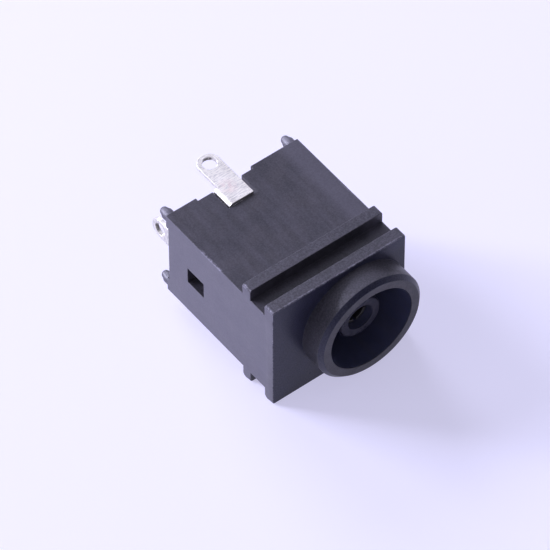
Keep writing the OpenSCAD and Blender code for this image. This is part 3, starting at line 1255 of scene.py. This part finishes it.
@dataclass
class CentreSocket:
    """The turned tube in the post that grips the plug's pin."""

    mouth: float = -0.1
    radius: float = 0.94
    bore: float = 0.71
    bore_end: float = 5.9
    flange: float = 1.2
    flange_start: float = 9.1
    strap: float = 9.5
    rivet: float = 0.55
    head: float = 0.85
    head_start: float = 9.8
    head_height: float = 0.25
    slit: float = 0.22
    slit_end: float = 3.9
    edge: float = 0.02

    def build(self, finish: bpy.types.Material) -> bpy.types.Object:
        """Models the socket and dresses it.

        Args:
            finish: the turned material.

        Returns:
            The finished piece.
        """
        piece = rod("socket", self.radius, self.mouth, self.flange_start, 72)
        with Bench(piece) as bench:
            stages = (
                (self.flange / self.radius, self.strap - self.flange_start),
                (self.rivet / self.flange, self.head_start - self.strap),
                (self.head / self.rivet, self.head_height),
            )
            bench.faces(lambda c, n: n.y > FACING)
            for growth, length in stages:
                bench.extrude((0, 0, 0))
                bench.resize((growth, 1, growth), (0, 0, 0))
                bench.extrude((0, length, 0))
            bench.tidy()
        start = self.mouth - PAST
        half = self.slit / 2
        wide = self.radius * 2
        combine(piece, Cut.REMOVE, rod("pin_bore", self.bore, start, self.bore_end, 64))
        combine(
            piece, Cut.REMOVE,
            box("slit_a", (-wide, start, -half), (wide, self.slit_end, half)),
            box("slit_b", (-half, start, -wide), (half, self.slit_end, wide)),
        )
        soften(piece, self.edge)
        dress(piece, "turned_socket", finish)
        hand_over(piece, "centre_socket")
        return piece


# ---------------------------------------------------------------- studio


LAVENDER = "#e1e0ff"


@dataclass(frozen=True)
class Lamp:
    """One round soft box.

    Its direction from the part is in degrees, and its distance and size are in metres.
    """

    name: str
    azimuth: float
    elevation: float
    distance: float
    size: float
    watts: float
    colour: str = LAVENDER

    def hang(self, aim: Vector) -> None:
        """Adds the lamp.

        Args:
            aim: the place that it points at, in metres.
        """
        across, up = math.radians(self.azimuth), math.radians(self.elevation)
        way = Vector((
            math.sin(across) * math.cos(up), -math.cos(across) * math.cos(up), math.sin(up)
        ))
        data = bpy.data.lights.new(self.name, "AREA")
        data.shape = "DISK"
        data.size = self.size
        data.energy = self.watts
        data.color = linear(self.colour)[:3]
        lamp = bpy.data.objects.new(self.name, data)
        bpy.context.collection.objects.link(lamp)
        lamp.location = aim + way * self.distance
        lamp.rotation_euler = way.to_track_quat("Z", "Y").to_euler()


LAMPS: tuple[Lamp, ...] = (
    Lamp("left_back_box", -150, 30, 0.7, 0.3, 4.4),
    Lamp("right_back_box", 170, 28, 0.7, 0.3, 2.3),
    Lamp("low_left_box", -140, 12, 0.7, 0.14, 3.8),
    Lamp("left_box", -115, 50, 0.7, 0.35, 0.3),
    Lamp("front_box", -30, 30, 0.7, 0.35, 0.2),
)


@dataclass
class Studio:
    """The paper floor, the lamps, the pale surroundings and the camera, turned in degrees."""

    sensor_mm: float = 36.0
    lens_mm: float = 366.4
    camera_mm: Point = (-145.9, -180.949, 286.351)
    camera_turn: Point = (39.43, 0.102, -37.724)
    aim_mm: Point = (-1.25, 3.3, -0.325)
    floor_mm: float = -4.73
    floor_metres: float = 6.0
    world: str = "#e6e5ff"
    world_light: float = 0.2
    dark_side: float = 0.2
    dark_range: tuple[float, float] = (-0.75, -0.3)

    def build(self) -> None:
        """Sets up everything round the part."""
        self._camera()
        self._floor()
        self._surroundings()
        for lamp in LAMPS:
            lamp.hang(Vector(self.aim_mm) * MM)
        bpy.context.scene.view_settings.view_transform = "Standard"

    def _camera(self) -> None:
        """Places the long lens above the part's left front corner."""
        data = bpy.data.cameras.new("camera")
        data.sensor_width = self.sensor_mm
        data.lens = self.lens_mm
        camera = bpy.data.objects.new("camera", data)
        bpy.context.collection.objects.link(camera)
        camera.location = Vector(self.camera_mm) * MM
        camera.rotation_euler = [math.radians(angle) for angle in self.camera_turn]
        bpy.context.scene.camera = camera

    def _floor(self) -> None:
        """Lays the paper that the part stands on."""
        bpy.ops.mesh.primitive_plane_add(
            size=self.floor_metres, location=(0, 0, self.floor_mm * MM)
        )
        floor = settle("paper_floor")
        floor.data.materials.append(StudioPaper().make())

    def _surroundings(self) -> None:
        """Makes the world a faint, even light, white where it is seen or mirrored.

        What the part mirrors towards the front is darker, as an unlit end of the room would be.
        """
        world = bpy.data.worlds.new("studio")
        bpy.context.scene.world = world
        world.use_nodes = True
        tree = world.node_tree
        tree.nodes.clear()
        path = node(tree, "LightPath")
        dim = node(tree, "Background", {
            "Color": linear(self.world), "Strength": self.world_light,
        })
        toward = node(tree, "SeparateXYZ", {
            "Vector": node(tree, "TexCoord").outputs["Generated"],
        }).outputs["Y"]
        room = node(tree, "MapRange", {
            "Value": toward, "From Min": self.dark_range[0], "From Max": self.dark_range[1],
            "To Min": self.dark_side, "To Max": 1.0,
        }).outputs["Result"]
        room = node(tree, "Math", {0: room, 1: path.outputs["Is Camera Ray"]},
                    operation="MAXIMUM").outputs[0]
        plain = node(tree, "Background", {"Color": linear(self.world), "Strength": room})
        mirrored = node(tree, "Math", {
            0: path.outputs["Is Glossy Ray"], 1: path.outputs["Is Transmission Ray"],
        }, operation="MAXIMUM").outputs[0]
        seen = node(tree, "Math", {
            0: path.outputs["Is Camera Ray"], 1: mirrored,
        }, operation="MAXIMUM").outputs[0]
        both = node(tree, "MixShader", {"Fac": seen, 1: dim.outputs[0], 2: plain.outputs[0]})
        node(tree, "OutputWorld", {"Surface": both.outputs[0]})


def moulded_skins() -> dict[Skin, bpy.types.Material]:
    """Makes the skins of the housing: the plain and coarse moulded skins and their painted lit and
    shaded copies.

    Returns:
        The material of each skin.
    """
    return {
        Skin.SPARKED: MouldedBlack().make(),
        # painted light: paler, more mirroring copy for the long sides
        Skin.DRAWN: MouldedBlack(
            name="moulded_black_painted_lit_side", colour="#47454e", cloud="#4c4a54", gloss=0.42,
            ior=1.7,
        ).make(),
        # painted shade: darker, bluer, less mirroring copy for the front and the collar's chamfer
        Skin.STONED: MouldedBlack(
            name="moulded_black_painted_shade_front", colour="#1d1f33", cloud="#212338",
            streak_and_sheen="#2b2d47", gloss=0.32, gloss_spread=0.05, ior=1.38,
        ).make(),
        Skin.COARSE: MouldedBlack(
            name="moulded_black_coarse", colour="#26252b", streak_and_sheen="#34323a", grain_mm=0.13,
            grain_share=0.22, grain_depth_mm=0.018, gloss=0.47,
        ).make(),
        # painted light: paler, bluer copy for the bore
        Skin.BORED: MouldedBlack(
            name="moulded_black_painted_lit_bore", colour="#454862", cloud="#4b4e69", grain_share=0.05,
        ).make(),
        # painted shade: bluer, less mirroring copy for the post's tip
        Skin.TURNED: MouldedBlack(
            name="moulded_black_painted_shade_tip", colour="#2a2a39", cloud="#2e2d3c", grain_share=0.03,
            gloss=0.3, ior=1.2,
        ).make(),
        # painted light: paler copy for the pegs
        Skin.PINS: MouldedBlack(
            name="moulded_black_painted_lit_pegs", colour="#45434b", cloud="#4a4850", grain_share=0.04,
            grain_depth_mm=0.001, swell_depth_mm=0.003, gloss=0.46, ior=1.6,
        ).make(),
    }


def main() -> None:
    """Builds the pieces and the studio in order, and writes down how large they came out."""
    logging.basicConfig(level=logging.INFO, format="%(name)s: %(message)s")
    strip = PlatedStrip().make()
    Housing().build(moulded_skins())
    SleeveContact().build(strip)
    CentreTerminal().build(strip)
    CentreSocket().build(TurnedBrass().make())
    Studio().build()


if __name__ == "__main__":
    main()
